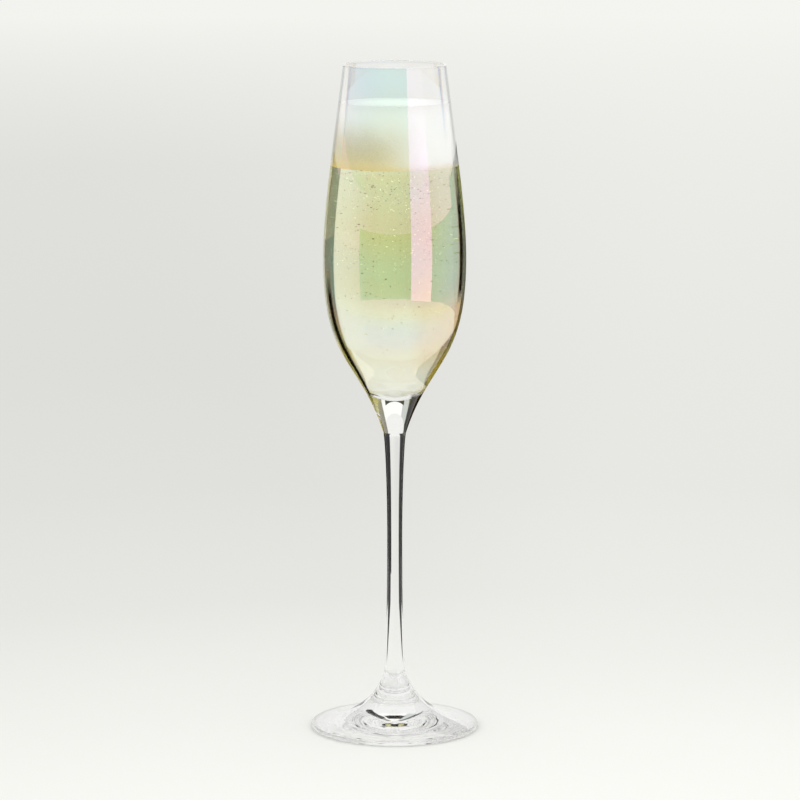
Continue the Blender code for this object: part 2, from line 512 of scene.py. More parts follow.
def hollow(gap=0.0):
    """The inside of the bowl from its lowest point up to the lip, moved inwards by gap."""
    inner_belly, inner_rim = belly_radius - WALL, RIM_RADIUS - RIM_WALL
    depth = belly_z - floor_z
    inside = joined(
        curve(
            (0, floor_z),
            (0.28 * inner_belly, floor_z),
            (inner_belly, belly_z - 0.73 * depth),
            (inner_belly, belly_z),
            150,
        ),
        curve(
            (inner_belly, belly_z),
            (inner_belly, belly_z + 0.25 * lift),
            (inner_rim + 0.126 * 0.47 * lift, lip_z - 0.47 * lift),
            (inner_rim, lip_z),
            120,
        ),
    )
    if gap == 0:
        return inside
    along = np.gradient(inside, axis=0)
    along[0] = (1, 0)
    along /= np.linalg.norm(along, axis=1)[:, None]
    moved = inside + gap * np.column_stack((-along[:, 1], along[:, 0]))
    moved[0][0] = 0
    return moved


belly_drop = belly_z - neck_z
bowl_outline = joined(
    hollow(),
    arc((RIM_RADIUS - RIM_WALL / 2, lip_z), RIM_WALL / 2, 180, 0, LIP_STEPS),
    curve(
        (RIM_RADIUS, lip_z),
        (RIM_RADIUS + 0.126 * 0.47 * lift, lip_z - 0.47 * lift),
        (belly_radius, belly_z + 0.25 * lift),
        (belly_radius, belly_z),
        120,
    ),
    curve(
        (belly_radius, belly_z),
        (belly_radius, belly_z - 0.60 * belly_drop),
        (NECK_RADIUS + 0.32 * 0.42 * belly_drop, neck_z + 0.42 * belly_drop),
        (NECK_RADIUS, neck_z),
        150,
    ),
    np.array([(NECK_RADIUS, neck_z), (0, neck_z)]),
)


def lustre_material():
    """Crystal under a fired metal-oxide film, with pastel tints, a painted rose reflection on the right,
    painted grey and dark shade at its edges, and painted shade in a wedge low on the right.
    """
    material = crystal("pearl_lustre", CLEAR)
    tree = material.node_tree
    shader = tree.nodes["Principled BSDF"]
    shader.inputs["Thin Film IOR"].default_value = FILM_IOR
    place = tree.nodes.new("ShaderNodeTexCoord")
    height = height_share(tree, place, neck_z, rim_z)
    split = tree.nodes.new("ShaderNodeSeparateXYZ")
    tree.links.new(place.outputs["Object"], split.inputs["Vector"])
    facing = tree.nodes.new("ShaderNodeLayerWeight")
    facing.inputs["Blend"].default_value = 0.5

    def slant(step):
        return smooth_share(tree, facing.outputs["Facing"], *step)

    def rise(step):
        return smooth_share(tree, height.outputs["Result"], *step)

    def across(step):
        return smooth_share(tree, split.outputs["X"], *step)

    tints = ramp_of(tree, LUSTRE_TINTS)
    tree.links.new(height.outputs["Result"], tints.inputs["Fac"])
    paler = tree.nodes.new("ShaderNodeMix")
    paler.data_type = "RGBA"
    tree.links.new(slant(PALE_SLANT), paler.inputs["Factor"])
    tree.links.new(tints.outputs["Color"], paler.inputs["A"])
    paler.inputs["B"].default_value = (*PALE_SIDE, 1)
    by_wine = rise(WINE_RISE)
    tone = tinted(tree, paler.outputs["Result"], product(tree, slant(WARM_SLANT), by_wine), WARM_EDGE)
    blushing = product(tree, across(BLUSH_ACROSS), rise(BLUSH_HIGH_END), rise(BLUSH_LOW_END))
    tone = tinted(tree, tone, blushing, BLUSH)
    tone = tinted(tree, tone, product(tree, across(GREEN_ACROSS), rise(GREEN_RISE), by_wine), GREEN_SIDE)
    # Painted reflection: the rose tint on the right side.
    tone = tinted(tree, tone, product(tree, across(ROSE_ACROSS), rise(ROSE_RISE), by_wine), PAINTED_ROSE_REFLECTION)

    # Painted shade along the left and right edges and a painted dark reflection in a wedge low on the
    # right; the film is left off there.
    edge = product(tree, slant(EDGE_INNER_SLANT), slant(EDGE_OUTER_SLANT))
    right = product(tree, across(RIGHT_ACROSS), rise(RIGHT_LOW_END), rise(RIGHT_HIGH_END))
    left = product(tree, across(LEFT_ACROSS), rise(LEFT_LOW_END), rise(LEFT_HIGH_END))
    wedge = product(tree, across(WEDGE_ACROSS), rise(WEDGE_RISE), slant(WEDGE_SLANT))
    shade = either(tree, product(tree, edge, either(tree, right, left)), wedge)
    tone = tinted(tree, tone, shade, PAINTED_EDGE_SHADE)
    # Painted shade: grey the edges seen edge on above the wine.
    above_wine = rise(CLEAR_RISE)
    tone = tinted(tree, tone, product(tree, slant(CLEAR_SLANT), above_wine), PAINTED_GREY_EDGE)
    tree.links.new(tone, shader.inputs["Base Color"])

    drift = tree.nodes.new("ShaderNodeTexNoise")
    drift.inputs["Scale"].default_value = FILM_PATCHES
    drift.inputs["Detail"].default_value = 1.0
    tree.links.new(place.outputs["Object"], drift.inputs["Vector"])
    steps = ramp_of(tree, [(share, (grey, grey, grey)) for share, grey in FILM_STEPS])
    tree.links.new(height.outputs["Result"], steps.inputs["Fac"])
    thickness = tree.nodes.new("ShaderNodeMath")
    thickness.operation = "MULTIPLY_ADD"
    thickness.inputs[1].default_value = FILM_SPREAD
    thickness.inputs[2].default_value = FILM_THIN
    tree.links.new(steps.outputs["Color"], thickness.inputs[0])
    wander = tree.nodes.new("ShaderNodeMath")
    wander.operation = "MULTIPLY_ADD"
    wander.inputs[1].default_value = FILM_DRIFT
    tree.links.new(drift.outputs["Fac"], wander.inputs[0])
    tree.links.new(thickness.outputs["Value"], wander.inputs[2])
    reach = height_share(tree, place, floor_z, floor_z + FILM_FADE)
    faded = product(tree, reach.outputs["Result"], wander.outputs["Value"])
    filmed = tree.nodes.new("ShaderNodeMath")
    filmed.operation = "SUBTRACT"
    filmed.inputs[0].default_value = 1.0
    bare = either(tree, shade, product(tree, slant(UNFILMED_SLANT), above_wine))
    tree.links.new(bare, filmed.inputs[1])
    film = product(tree, filmed.outputs["Value"], faded)
    tree.links.new(film, shader.inputs["Thin Film Thickness"])
    return material


bowl_glass = worked(crystal("bowl_crystal", CLEAR), 0.0, BOWL_LINES, BOWL_ALONG, BOWL_RELIEF)
rim_glass = crystal("rim_crystal", RIM_TONE)
rim_glass.node_tree.nodes["Principled BSDF"].inputs["Transmission Weight"].default_value = RIM_CLEARNESS
worked(rim_glass, 0.0, RIM_LINES, BOWL_ALONG, BOWL_RELIEF)
inside_rows = len(hollow()) - 1
outside_rows = len(bowl_outline) - 2 - inside_rows - LIP_STEPS
bowl_slots = [0] * inside_rows + [3] * LIP_STEPS + [1] * outside_rows + [2]
bowl_finishes = (bowl_glass, lustre_material(), weld, rim_glass)
bowl = turned("bowl_glass", bowl_outline, *bowl_finishes, slots=bowl_slots)
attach(bowl, "root")
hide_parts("bowl")

# ---------------------------------------------------------------------------
# Champagne. Clear, pale greenish-gold wine that fills the bowl up to the foam
# and wets the glass all over.
WINE_IOR = 1.34
CONTACT = 0.00004
WINE_GOLD = (0.90, 0.97, 0.25)
WINE_STRENGTH = 8.0
WINE_LINES = 60.0
WINE_ALONG = 40.0
WINE_RELIEF = 0.00003

wine_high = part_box("champagne")[1]
wine_top = wine_high.z
wet_wall = hollow(-CONTACT)
wet_wall[0] = (0, floor_z - CONTACT)
wine_side = wet_wall[wet_wall[:, 1] < wine_top]
wine_edge = (np.interp(wine_top, wet_wall[:, 1], wet_wall[:, 0]), wine_top)
wine_outline = joined(np.array([(0, wine_top), wine_edge]), np.vstack(([wine_edge], wine_side[::-1])))
wine_material = worked(crystal("wine", CLEAR, IOR=WINE_IOR), 0.0, WINE_LINES, WINE_ALONG, WINE_RELIEF)
wine_tree = wine_material.node_tree
absorption = wine_tree.nodes.new("ShaderNodeVolumeAbsorption")
absorption.inputs["Color"].default_value = (*WINE_GOLD, 1)
absorption.inputs["Density"].default_value = WINE_STRENGTH
wine_tree.links.new(absorption.outputs["Volume"], wine_tree.nodes["Material Output"].inputs["Volume"])
wine = turned("wine", wine_outline, wine_material)
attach(wine, "root")
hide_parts("champagne")

# ---------------------------------------------------------------------------
# Foam. A head of fine bubbles, white and dry on top and wetter and yellower
# where it meets the wine. It is also painted darker and olive on the left and
# brighter on the right, as painted shade and light, and given a painted glow.
SUNK = 0.0001
# Painted shade and light: the froth is shaded and wetter on the left, lit and drier on the right.
SHADED_WET_SIDE = -0.0116
LIT_DRY_SIDE = 0.0150
WET_AND_SHADED_FROTH = (
    (0.00, (0.92, 0.74, 0.26)),
    (0.06, (0.84, 0.74, 0.37)),
    (0.18, (0.74, 0.68, 0.42)),
    (0.33, (0.72, 0.68, 0.50)),
    (0.48, (0.78, 0.75, 0.64)),
    (0.63, (0.88, 0.86, 0.80)),
    (0.80, (0.97, 0.96, 0.93)),
    (1.00, (1.00, 0.98, 0.96)),
)
DRY_AND_LIT_FROTH = ((0.00, (0.94, 0.88, 0.70)), (0.10, (1.00, 1.00, 0.98)), (1.00, (1.00, 1.00, 1.00)))
FROTH_CLOUDS = 150.0
RAGGEDNESS = 0.16
FROTH_CELLS = 1500.0
CELL_SKINS = ((0.00, (0.90, 0.90, 0.88)), (0.55, (1.00, 1.00, 1.00)))
CELL_RELIEF = 0.0002
CELL_STRENGTH = 0.25
# Painted light: the froth glows a little, for the light that the glass keeps from it.
FROTH_PAINTED_GLOW = 0.30
FROTH_ROUGHNESS = 0.6

foam_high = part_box("foam")[1]
foam_top, foam_bottom = foam_high.z, wine_top - SUNK
foam_side = wet_wall[(wet_wall[:, 1] > foam_bottom) & (wet_wall[:, 1] < foam_top)]
foam_edge = (np.interp(foam_top, wet_wall[:, 1], wet_wall[:, 0]), foam_top)
foam_foot = (np.interp(foam_bottom, wet_wall[:, 1], wet_wall[:, 0]), foam_bottom)
foam_outline = np.vstack(([(0, foam_top), foam_edge], foam_side[::-1], [foam_foot, (0, foam_bottom)]))


def froth_material():
    """Froth, white where it is dry and olive-gold where it is wet, with painted shade on the left,
    painted light on the right and a painted glow; its cells in relief.
    """
    material = bpy.data.materials.new("froth")
    material.use_nodes = True
    tree = material.node_tree
    shader = tree.nodes["Principled BSDF"]
    place = tree.nodes.new("ShaderNodeTexCoord")
    height = height_share(tree, place, foam_bottom, foam_top)
    cloud = tree.nodes.new("ShaderNodeTexNoise")
    cloud.inputs["Scale"].default_value = FROTH_CLOUDS
    cloud.inputs["Detail"].default_value = 2.0
    tree.links.new(place.outputs["Object"], cloud.inputs["Vector"])
    ragged = tree.nodes.new("ShaderNodeMath")
    ragged.operation = "MULTIPLY_ADD"
    ragged.inputs[1].default_value = RAGGEDNESS
    tree.links.new(cloud.outputs["Fac"], ragged.inputs[0])
    tree.links.new(height.outputs["Result"], ragged.inputs[2])
    level = tree.nodes.new("ShaderNodeMath")
    level.operation = "SUBTRACT"
    level.inputs[1].default_value = RAGGEDNESS / 2
    tree.links.new(ragged.outputs["Value"], level.inputs[0])
    wet = ramp_of(tree, WET_AND_SHADED_FROTH)
    dry = ramp_of(tree, DRY_AND_LIT_FROTH)
    tree.links.new(level.outputs["Value"], wet.inputs["Fac"])
    tree.links.new(height.outputs["Result"], dry.inputs["Fac"])
    split = tree.nodes.new("ShaderNodeSeparateXYZ")
    tree.links.new(place.outputs["Object"], split.inputs["Vector"])
    # Painted shade on the left and painted light on the right, with wetter froth on the left.
    drained_and_lit = smooth_share(tree, split.outputs["X"], SHADED_WET_SIDE, LIT_DRY_SIDE)
    blend = tree.nodes.new("ShaderNodeMix")
    blend.data_type = "RGBA"
    tree.links.new(drained_and_lit, blend.inputs["Factor"])
    tree.links.new(wet.outputs["Color"], blend.inputs["A"])
    tree.links.new(dry.outputs["Color"], blend.inputs["B"])
    cells = tree.nodes.new("ShaderNodeTexVoronoi")
    cells.inputs["Scale"].default_value = FROTH_CELLS
    tree.links.new(place.outputs["Object"], cells.inputs["Vector"])
    skins = ramp_of(tree, CELL_SKINS)
    tree.links.new(cells.outputs["Distance"], skins.inputs["Fac"])
    flecked = tree.nodes.new("ShaderNodeMix")
    flecked.data_type = "RGBA"
    flecked.blend_type = "MULTIPLY"
    flecked.inputs["Factor"].default_value = 1.0
    tree.links.new(blend.outputs["Result"], flecked.inputs["A"])
    tree.links.new(skins.outputs["Color"], flecked.inputs["B"])
    relief = tree.nodes.new("ShaderNodeBump")
    relief.inputs["Strength"].default_value = CELL_STRENGTH
    relief.inputs["Distance"].default_value = CELL_RELIEF
    tree.links.new(cells.outputs["Distance"], relief.inputs["Height"])
    tree.links.new(relief.outputs["Normal"], shader.inputs["Normal"])
    tree.links.new(flecked.outputs["Result"], shader.inputs["Base Color"])
    # Painted glow: the froth gives off light in its own colour.
    tree.links.new(flecked.outputs["Result"], shader.inputs["Emission Color"])
    shader.inputs["Emission Strength"].default_value = FROTH_PAINTED_GLOW
    shader.inputs["Roughness"].default_value = FROTH_ROUGHNESS
    return material


foam = turned("foam_head", foam_outline, froth_material())
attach(foam, "root")
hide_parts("foam")

# ---------------------------------------------------------------------------
# Bubbles. Small beads of gas that cling to the inside of the glass, thickest
# towards the top of the wine, and a few that rise through it.
BUBBLE_LOWEST = 0.150
BUBBLE_SMALLEST = 0.00012
BUBBLE_LARGEST = 0.00026
BUBBLE_DENSITY = 640000.0
BELOW_FOAM = 0.0006
RISING_REACH = 0.0195
RISING_COUNT = 260
BUBBLE_SEED = 11
CROWD_POWER = 1.3
GROWTH_POWER = 1.8
CROWD_PATCHES = 60.0
CLEARANCE = 1.15
RISING_SIZE = 0.8
BALL_SEGMENTS = 8
BALL_RINGS = 6
WALL_SIDES = 48
WALL_STEP = 4
# Painted highlights and painted shade: bright and dark bubbles spread at random.
GAS_PAINTED_LIGHT_AND_SHADE = ((0.40, (0.32, 0.34, 0.20)), (0.47, (0.72, 0.74, 0.50)), (0.54, (1.00, 1.00, 0.88)))
GAS_TINT = (1.00, 1.00, 0.92)
GAS_PATCHES = 420.0
GAS_CLEARNESS = 0.55
GAS_ROUGHNESS = 0.1
# Painted light: the bubbles glow a little.
GAS_PAINTED_GLOW = 0.30


def bubble_tree():
    """Points on the wetted glass and through the wine, each with a small sphere of gas."""
    tree = bpy.data.node_groups.new("bubbles", "GeometryNodeTree")
    face = tree.interface
    face.new_socket("Wall", in_out="INPUT", socket_type="NodeSocketGeometry")
    for name in ("Smallest", "Largest", "Density", "Lowest", "Highest", "Reach"):
        face.new_socket(name, in_out="INPUT", socket_type="NodeSocketFloat")
    for name in ("Rising", "Seed"):
        face.new_socket(name, in_out="INPUT", socket_type="NodeSocketInt")
    face.new_socket("Gas", in_out="INPUT", socket_type="NodeSocketMaterial")
    face.new_socket("Bubbles", in_out="OUTPUT", socket_type="NodeSocketGeometry")
    given = tree.nodes.new("NodeGroupInput")
    result = tree.nodes.new("NodeGroupOutput")

    def fill(socket, value):
        if isinstance(value, bpy.types.NodeSocket):
            tree.links.new(value, socket)
        else:
            socket.default_value = value

    def sum_of(kind, *values):
        made = tree.nodes.new("ShaderNodeMath")
        made.operation = kind
        for socket, value in zip(made.inputs, values):
            fill(socket, value)
        return made.outputs["Value"]

    def chance(low, high, shift):
        made = tree.nodes.new("FunctionNodeRandomValue")
        made.data_type = "FLOAT"
        fill(made.inputs[2], low)
        fill(made.inputs[3], high)
        tree.links.new(sum_of("ADD", given.outputs["Seed"], shift), made.inputs["Seed"])
        return made.outputs[1]

    def sized(points, size):
        made = tree.nodes.new("GeometryNodeStoreNamedAttribute")
        made.data_type = "FLOAT"
        made.domain = "POINT"
        made.inputs["Name"].default_value = "bubble"
        tree.links.new(points, made.inputs["Geometry"])
        tree.links.new(size, made.inputs["Value"])
        return made.outputs["Geometry"]

    place = tree.nodes.new("GeometryNodeInputPosition")
    split = tree.nodes.new("ShaderNodeSeparateXYZ")
    tree.links.new(place.outputs["Position"], split.inputs["Vector"])
    rise = tree.nodes.new("ShaderNodeMapRange")
    tree.links.new(split.outputs["Z"], rise.inputs["Value"])
    tree.links.new(given.outputs["Lowest"], rise.inputs["From Min"])
    tree.links.new(given.outputs["Highest"], rise.inputs["From Max"])
    patches = tree.nodes.new("ShaderNodeTexNoise")
    patches.inputs["Scale"].default_value = CROWD_PATCHES
    patchy = tree.nodes.new("ShaderNodeMapRange")
    patchy.inputs["From Min"].default_value = 0.35
    patchy.inputs["From Max"].default_value = 0.65
    patchy.inputs["To Min"].default_value = 0.25
    tree.links.new(patches.outputs["Fac"], patchy.inputs["Value"])
    crowd = sum_of("POWER", rise.outputs["Result"], CROWD_POWER)
    crowd = sum_of("MULTIPLY", crowd, patchy.outputs["Result"])
    scatter = tree.nodes.new("GeometryNodeDistributePointsOnFaces")
    tree.links.new(given.outputs["Wall"], scatter.inputs["Mesh"])
    tree.links.new(sum_of("MULTIPLY", crowd, given.outputs["Density"]), scatter.inputs["Density"])
    tree.links.new(given.outputs["Seed"], scatter.inputs["Seed"])

    growth = sum_of("POWER", chance(0.0, 1.0, 1), GROWTH_POWER)
    span = sum_of("SUBTRACT", given.outputs["Largest"], given.outputs["Smallest"])
    size = sum_of("ADD", sum_of("MULTIPLY", growth, span), given.outputs["Smallest"])
    clear = tree.nodes.new("ShaderNodeVectorMath")
    clear.operation = "SCALE"
    tree.links.new(scatter.outputs["Normal"], clear.inputs[0])
    tree.links.new(sum_of("MULTIPLY", size, CLEARANCE), clear.inputs["Scale"])
    cling = tree.nodes.new("GeometryNodeSetPosition")
    tree.links.new(sized(scatter.outputs["Points"], size), cling.inputs["Geometry"])
    tree.links.new(clear.outputs["Vector"], cling.inputs["Offset"])

    turn = chance(0.0, math.tau, 2)
    out = sum_of("MULTIPLY", sum_of("SQRT", chance(0.0, 1.0, 3)), given.outputs["Reach"])
    spot = tree.nodes.new("ShaderNodeCombineXYZ")
    tree.links.new(sum_of("MULTIPLY", sum_of("COSINE", turn), out), spot.inputs["X"])
    tree.links.new(sum_of("MULTIPLY", sum_of("SINE", turn), out), spot.inputs["Y"])
    tree.links.new(chance(given.outputs["Lowest"], given.outputs["Highest"], 4), spot.inputs["Z"])
    rising = tree.nodes.new("GeometryNodePoints")
    tree.links.new(given.outputs["Rising"], rising.inputs["Count"])
    tree.links.new(spot.outputs["Vector"], rising.inputs["Position"])
    risen = sized(rising.outputs[0], sum_of("MULTIPLY", size, RISING_SIZE))

    both = tree.nodes.new("GeometryNodeJoinGeometry")
    tree.links.new(cling.outputs["Geometry"], both.inputs["Geometry"])
    tree.links.new(risen, both.inputs["Geometry"])
    ball = tree.nodes.new("GeometryNodeMeshUVSphere")
    ball.inputs["Segments"].default_value = BALL_SEGMENTS
    ball.inputs["Rings"].default_value = BALL_RINGS
    ball.inputs["Radius"].default_value = 1.0
    own = tree.nodes.new("GeometryNodeInputNamedAttribute")
    own.data_type = "FLOAT"
    own.inputs["Name"].default_value = "bubble"
    each = tree.nodes.new("GeometryNodeInstanceOnPoints")
    tree.links.new(both.outputs["Geometry"], each.inputs["Points"])
    tree.links.new(ball.outputs["Mesh"], each.inputs["Instance"])
    tree.links.new(own.outputs[0], each.inputs["Scale"])
    real = tree.nodes.new("GeometryNodeRealizeInstances")
    tree.links.new(each.outputs["Instances"], real.inputs["Geometry"])
    round_off = tree.nodes.new("GeometryNodeSetShadeSmooth")
    tree.links.new(real.outputs["Geometry"], round_off.inputs["Geometry"])
    finish = tree.nodes.new("GeometryNodeSetMaterial")
    tree.links.new(round_off.outputs["Geometry"], finish.inputs["Geometry"])
    tree.links.new(given.outputs["Gas"], finish.inputs["Material"])
    tree.links.new(finish.outputs["Geometry"], result.inputs["Bubbles"])
    return tree


def gas_material():
    """Gas in a skin of wine, with painted highlights, painted shade and a painted glow spread at random.
    """
    material = crystal("gas", GAS_TINT, IOR=WINE_IOR)
    tree = material.node_tree
    shader = tree.nodes["Principled BSDF"]
    place = tree.nodes.new("ShaderNodeTexCoord")
    chance = tree.nodes.new("ShaderNodeTexNoise")
    chance.inputs["Scale"].default_value = GAS_PATCHES
    tree.links.new(place.outputs["Object"], chance.inputs["Vector"])
    lit = ramp_of(tree, GAS_PAINTED_LIGHT_AND_SHADE)
    tree.links.new(chance.outputs["Fac"], lit.inputs["Fac"])
    # Painted highlights, painted shade and a painted glow, by noise.
    tree.links.new(lit.outputs["Color"], shader.inputs["Base Color"])
    tree.links.new(lit.outputs["Color"], shader.inputs["Emission Color"])
    shader.inputs["Transmission Weight"].default_value = GAS_CLEARNESS
    shader.inputs["Roughness"].default_value = GAS_ROUGHNESS
    shader.inputs["Emission Strength"].default_value = GAS_PAINTED_GLOW
    return material


wall_rows = hollow()
wall_rows = wall_rows[wall_rows[:, 1] > BUBBLE_LOWEST]
wall_rows = wall_rows[wall_rows[:, 1] < wine_top - BUBBLE_LARGEST * 1.5][::WALL_STEP]
wall_points, wall_faces = [], []
for row, (radius, height) in enumerate(wall_rows):
    for side in range(WALL_SIDES):
        angle = math.tau * side / WALL_SIDES
        wall_points.append((radius * math.cos(angle), radius * math.sin(angle), height))
        if row:
            here, under = row * WALL_SIDES, (row - 1) * WALL_SIDES
            beside = (side + 1) % WALL_SIDES
            wall_faces.append((here + side, here + beside, under + beside, under + side))
wall_mesh = bpy.data.meshes.new("wetted_wall")
wall_mesh.from_pydata(wall_points, [], wall_faces)
wall = bpy.data.objects.new("wetted_wall", wall_mesh)
bpy.context.scene.collection.objects.link(wall)
tree = bubble_tree()
growing = wall.modifiers.new("bubbles", "NODES")
growing.node_group = tree
asked = {
    "Smallest": BUBBLE_SMALLEST,
    "Largest": BUBBLE_LARGEST,
    "Density": BUBBLE_DENSITY,
    "Lowest": BUBBLE_LOWEST,
    "Highest": wine_top - BELOW_FOAM,
    "Reach": RISING_REACH,
    "Rising": RISING_COUNT,
    "Seed": BUBBLE_SEED,
    "Gas": gas_material(),
}
for item in tree.interface.items_tree:
    if item.in_out == "INPUT" and item.name in asked:
        growing[item.identifier] = asked[item.name]
seen = wall.evaluated_get(bpy.context.evaluated_depsgraph_get())
bubble_mesh = bpy.data.meshes.new_from_object(seen)
wall.modifiers.remove(growing)
bpy.data.objects.remove(wall)
bubble_mesh.name = "bubbles"
bubbles = bpy.data.objects.new("bubbles", bubble_mesh)
bpy.context.scene.collection.objects.link(bubbles)
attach(bubbles, "root")

# ---------------------------------------------------------------------------
# Studio. A pale table that runs on far behind the glass, under an even soft
# light. A pool of light in front of the glass, and the table greying slowly
# beyond it, more to the left than to the right, are painted light and painted
# shade in the table's colour, and a painted glow of caustic light lies under
# the foot.
TABLE_REACH = 15.0
# Centre of the pool of light painted into the table's colour.
PAINTED_POOL = (0.05, -0.25)
STANDING_GAP = 0.00005
# Painted light: the table glows under the foot, standing in for light focused through the glass.
PAINTED_CAUSTIC = 0.30
CAUSTIC_EDGE = 0.90
TONE_SPAN = 5.0
PAPER_YELLOW = 0.975
# Painted light and shade: the table's grey by distance from the painted pool, on the left and on the
# right.
LEFT_PAINTED_LIGHT = (
    (0.14, 0.960),
    (0.25, 0.915),
    (0.38, 0.845),
    (0.50, 0.775),
    (0.77, 0.727),
    (1.20, 0.708),
    (2.50, 0.722),
    (5.00, 0.870),
)
RIGHT_PAINTED_LIGHT = (
    (0.14, 0.960),
    (0.25, 0.930),
    (0.38, 0.858),
    (0.50, 0.815),
    (0.77, 0.780),
    (1.20, 0.782),
    (2.50, 0.812),
    (5.00, 0.880),
)
LEFT_BEARING = -0.16
RIGHT_BEARING = 0.12


def table_material():
    """Pale paper, painted lighter and darker by how far it lies from the middle of a painted pool of
    light, with a painted caustic glow under the foot.
    """
    material = bpy.data.materials.new("table_paper")
    material.use_nodes = True
    tree = material.node_tree
    shader = tree.nodes["Principled BSDF"]
    shader.inputs["Roughness"].default_value = 0.9
    shader.inputs["Specular IOR Level"].default_value = 0.0
    place = tree.nodes.new("ShaderNodeTexCoord")
    centred = tree.nodes.new("ShaderNodeMapping")
    centred.inputs["Location"].default_value = (-PAINTED_POOL[0], -PAINTED_POOL[1], 0)
    tree.links.new(place.outputs["Object"], centred.inputs["Vector"])
    length = tree.nodes.new("ShaderNodeVectorMath")
    length.operation = "LENGTH"
    tree.links.new(centred.outputs["Vector"], length.inputs[0])
    far = tree.nodes.new("ShaderNodeMath")
    far.operation = "DIVIDE"
    far.inputs[1].default_value = TONE_SPAN
    tree.links.new(length.outputs["Value"], far.inputs[0])
    tones = []
    for stops in (LEFT_PAINTED_LIGHT, RIGHT_PAINTED_LIGHT):
        shades = [(away / TONE_SPAN, (grey, grey, grey * PAPER_YELLOW)) for away, grey in stops]
        ramp = ramp_of(tree, shades)
        tree.links.new(far.outputs["Value"], ramp.inputs["Fac"])
        tones.append(ramp)
    split = tree.nodes.new("ShaderNodeSeparateXYZ")
    tree.links.new(centred.outputs["Vector"], split.inputs["Vector"])
    bearing = tree.nodes.new("ShaderNodeMath")
    bearing.operation = "DIVIDE"
    tree.links.new(split.outputs["X"], bearing.inputs[0])
    tree.links.new(length.outputs["Value"], bearing.inputs[1])
    side = smooth_share(tree, bearing.outputs["Value"], LEFT_BEARING, RIGHT_BEARING)
    blend = tree.nodes.new("ShaderNodeMix")
    blend.data_type = "RGBA"
    tree.links.new(side, blend.inputs["Factor"])
    tree.links.new(tones[0].outputs["Color"], blend.inputs["A"])
    tree.links.new(tones[1].outputs["Color"], blend.inputs["B"])
    # Painted light and shade in the table's colour.
    tree.links.new(blend.outputs["Result"], shader.inputs["Base Color"])
    from_foot = tree.nodes.new("ShaderNodeVectorMath")
    from_foot.operation = "LENGTH"
    tree.links.new(place.outputs["Object"], from_foot.inputs[0])
    # Painted light: emission under the foot, for the caustic.
    glow = smooth_share(tree, from_foot.outputs["Value"], foot_radius, foot_radius * CAUSTIC_EDGE)
    lit = tree.nodes.new("ShaderNodeMath")
    lit.operation = "MULTIPLY"
    lit.inputs[1].default_value = PAINTED_CAUSTIC
    tree.links.new(glow, lit.inputs[0])
    shader.inputs["Emission Color"].default_value = (1, 1, 1, 1)
    tree.links.new(lit.outputs["Value"], shader.inputs["Emission Strength"])
    return material


def panel(name, corners, material):
    """One four-cornered sheet of the studio."""
    mesh = bpy.data.meshes.new(name)
    mesh.from_pydata(corners, [], [(0, 1, 2, 3)])
    mesh.materials.append(material)
    sheet = bpy.data.objects.new(name, mesh)
    bpy.context.scene.collection.objects.link(sheet)
    return sheet


panel(
    "table",
    [
        (-TABLE_REACH, -TABLE_REACH, -STANDING_GAP),
        (TABLE_REACH, -TABLE_REACH, -STANDING_GAP),
        (TABLE_REACH, TABLE_REACH, -STANDING_GAP),
        (-TABLE_REACH, TABLE_REACH, -STANDING_GAP),
    ],
    table_material(),
)

# Cards stand out of the picture, and only the glass shows them. Those close
# behind it give the dark bands down its sides, and those farther back and
# higher up its bright, dim and dark patches. Curved ones round its front keep
# the pale room out of its reflections, beside one tall softbox on the right.
CARD_Y = 0.094
HIGH_CARD_Y = 0.5
FRONT_DISTANCE = 0.59
SOFTBOX_DISTANCE = 0.50
SOFTBOX_TINT = (0.95, 1.04, 1.08)


def unseen(sheet, transmission=True, glossy=True):
    """Keep a card out of the picture and out of the light on the table."""
    sheet.visible_camera = False
    sheet.visible_diffuse = False
    sheet.visible_shadow = False
    sheet.visible_transmission = transmission
    sheet.visible_glossy = glossy
    return sheet


def card_material(name, *colour):
    """Card that shows in the glass only: light for the table or the foam passes through it."""
    material = bpy.data.materials.new(name)
    material.use_nodes = True
    tree = material.node_tree
    tree.nodes.remove(tree.nodes["Principled BSDF"])
    tone = tree.nodes.new("ShaderNodeEmission")
    tone.inputs["Color"].default_value = (*colour, 1)
    through = tree.nodes.new("ShaderNodeBsdfTransparent")
    rays = tree.nodes.new("ShaderNodeLightPath")
    choice = tree.nodes.new("ShaderNodeMixShader")
    tree.links.new(rays.outputs["Diffuse Depth"], choice.inputs["Fac"])
    tree.links.new(tone.outputs["Emission"], choice.inputs[1])
    tree.links.new(through.outputs["BSDF"], choice.inputs[2])
    tree.links.new(choice.outputs["Shader"], tree.nodes["Material Output"].inputs["Surface"])
    return material


def fading_card(name, axis, start, end, from_place, to_place, colour=CLEAR):
    """Card that runs from one brightness to another along an axis, between two places."""
    material = card_material(name, *colour)
    tree = material.node_tree
    place = tree.nodes.new("ShaderNodeTexCoord")
    split = tree.nodes.new("ShaderNodeSeparateXYZ")
    tree.links.new(place.outputs["Object"], split.inputs["Vector"])
    fade = tree.nodes.new("ShaderNodeMapRange")
    fade.interpolation_type = "SMOOTHSTEP"
    fade.inputs["From Min"].default_value = from_place
    fade.inputs["From Max"].default_value = to_place
    fade.inputs["To Min"].default_value = start
    fade.inputs["To Max"].default_value = end
    tree.links.new(split.outputs[axis], fade.inputs["Value"])
    tree.links.new(fade.outputs["Result"], tree.nodes["Emission"].inputs["Strength"])
    return material


def behind(name, x0, x1, low, high, material, y=CARD_Y, transmission=True, glossy=True):
    """A card that stands across the view behind the glass."""
    corners = [(x0, y, low), (x1, y, low), (x1, y, high), (x0, y, high)]
    return unseen(panel(name, corners, material), transmission, glossy)


